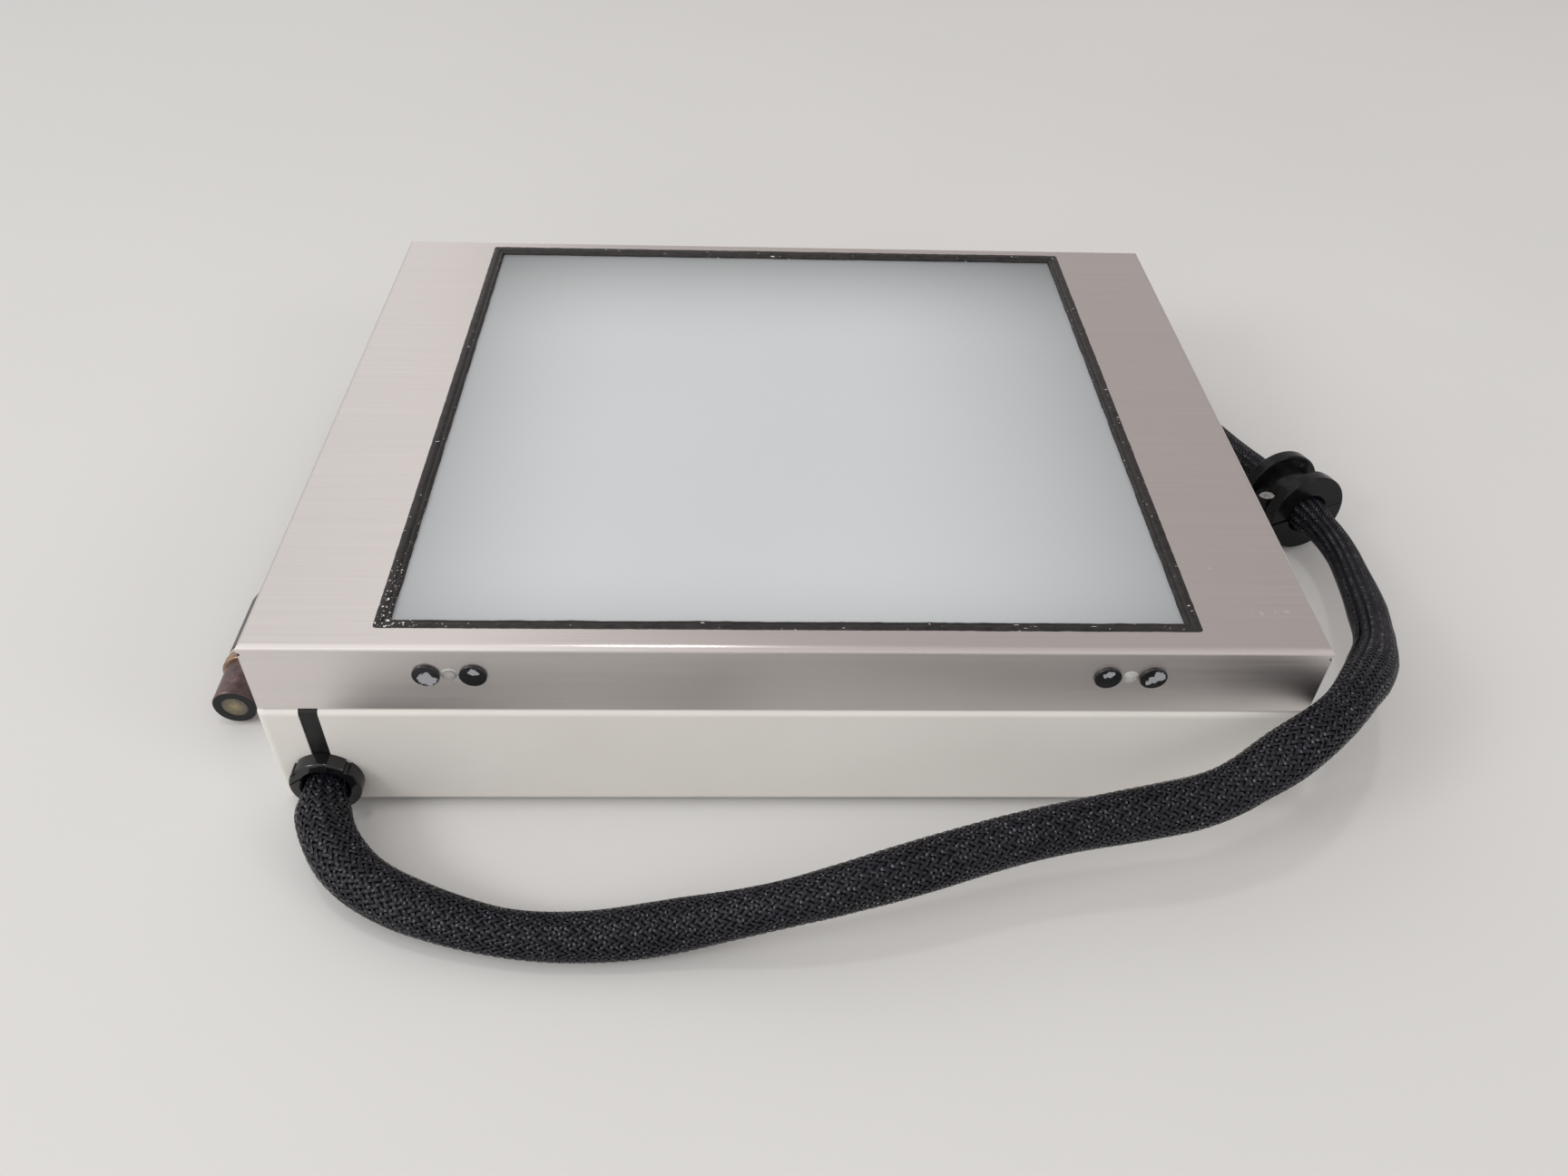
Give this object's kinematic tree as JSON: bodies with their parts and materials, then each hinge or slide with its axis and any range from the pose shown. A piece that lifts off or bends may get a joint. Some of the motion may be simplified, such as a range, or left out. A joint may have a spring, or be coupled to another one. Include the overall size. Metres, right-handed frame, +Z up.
{
  "type": "fibre-lit light table",
  "caption": "Flat light table: folded painted base, lift-off brushed steel cover with a sealed frosted window, lit by a braided fibre light guide with a split bushing and a bare ferrule.",
  "frame": {"origin": "centre of the box's footprint, on the table", "axes": "+Z up, +X along the box's long side to the viewer's right, -Y towards the front lip with the magnets"},
  "size_m": [0.4642, 0.4412, 0.0789],
  "materials": {
    "cover_steel": "brushed stainless steel, straight grain",
    "base_paint": "ivory powder coat, fine orange peel",
    "frosted_glass": "frosted, pale blue-grey",
    "opal": "opal diffuser",
    "sealant": "black silicone, semi-gloss",
    "rail_metal": "mill finish",
    "fixings": "zinc plated",
    "magnet_coat": "glossy black coating, chipped",
    "clear_bumper": "clear dome",
    "foot_rubber": "black rubber",
    "strip_rubber": "black rubber, matte",
    "gland_nylon": "black nylon, glossy",
    "bushing_nylon": "black nylon, satin",
    "braid": "black monofilament braid",
    "boot_dark": "dark grey sleeve",
    "collar_metal": "light band between dark grooves",
    "ring_metal": "tan, worn",
    "barrel_metal": "dark purple-brown",
    "fibre_glass": "polished fibre bundle end, golden",
    "reflector_white": "matte white",
    "bar_metal": "black anodised",
    "leg_sheath": "black sheath",
    "splitter_plastic": "dark grey moulding"
  },
  "bodies": {
    "base": {"base_tray": "base_paint", "rubber_feet": "foot_rubber", "slot_strip": "strip_rubber", "locating_angles": "base_paint", "gland_cap": "gland_nylon", "gland_saddle": "gland_nylon", "bushing_lower": "bushing_nylon", "light_guide_sleeve": "braid", "ferrule_boot": "boot_dark", "ferrule_collar": "collar_metal", "ferrule_ring": "ring_metal", "ferrule_barrel": "barrel_metal", "fibre_face": "fibre_glass", "reflector_tray": "reflector_white", "tray_standoffs": "fixings", "tray_screws": "fixings", "line_bar_left": "bar_metal", "line_bar_right": "bar_metal", "fibre_lines": "fibre_glass", "bar_brackets": "rail_metal", "bar_screws": "fixings", "fibre_leg_left": "leg_sheath", "fibre_leg_right": "leg_sheath", "inner_bundle": "leg_sheath", "bundle_splitter": "splitter_plastic", "splitter_cradle": "splitter_plastic", "splitter_strap": "rail_metal", "strap_screws": "fixings"},
    "cover": {"cover_shell": "cover_steel", "window_panel": "frosted_glass", "window_bead": "sealant", "diffuser_panel": "opal", "window_rails": "rail_metal", "window_studs": "fixings", "window_nuts": "fixings", "lip_magnets": "magnet_coat", "lip_bumpers": "clear_bumper"},
    "bushing_cap": {"bushing_upper": "bushing_nylon", "bushing_screws": "fixings"}
  },
  "joints": [
    {"name": "cover_lift", "type": "slide", "parent": "base", "child": "cover", "axis": [0, 0, 1], "range_m": [0, 0.12]},
    {"name": "bushing_part", "type": "slide", "parent": "base", "child": "bushing_cap", "axis": [-0.1783, 0.0419, 0.9831], "range_m": [0, 0.02]}
  ]
}
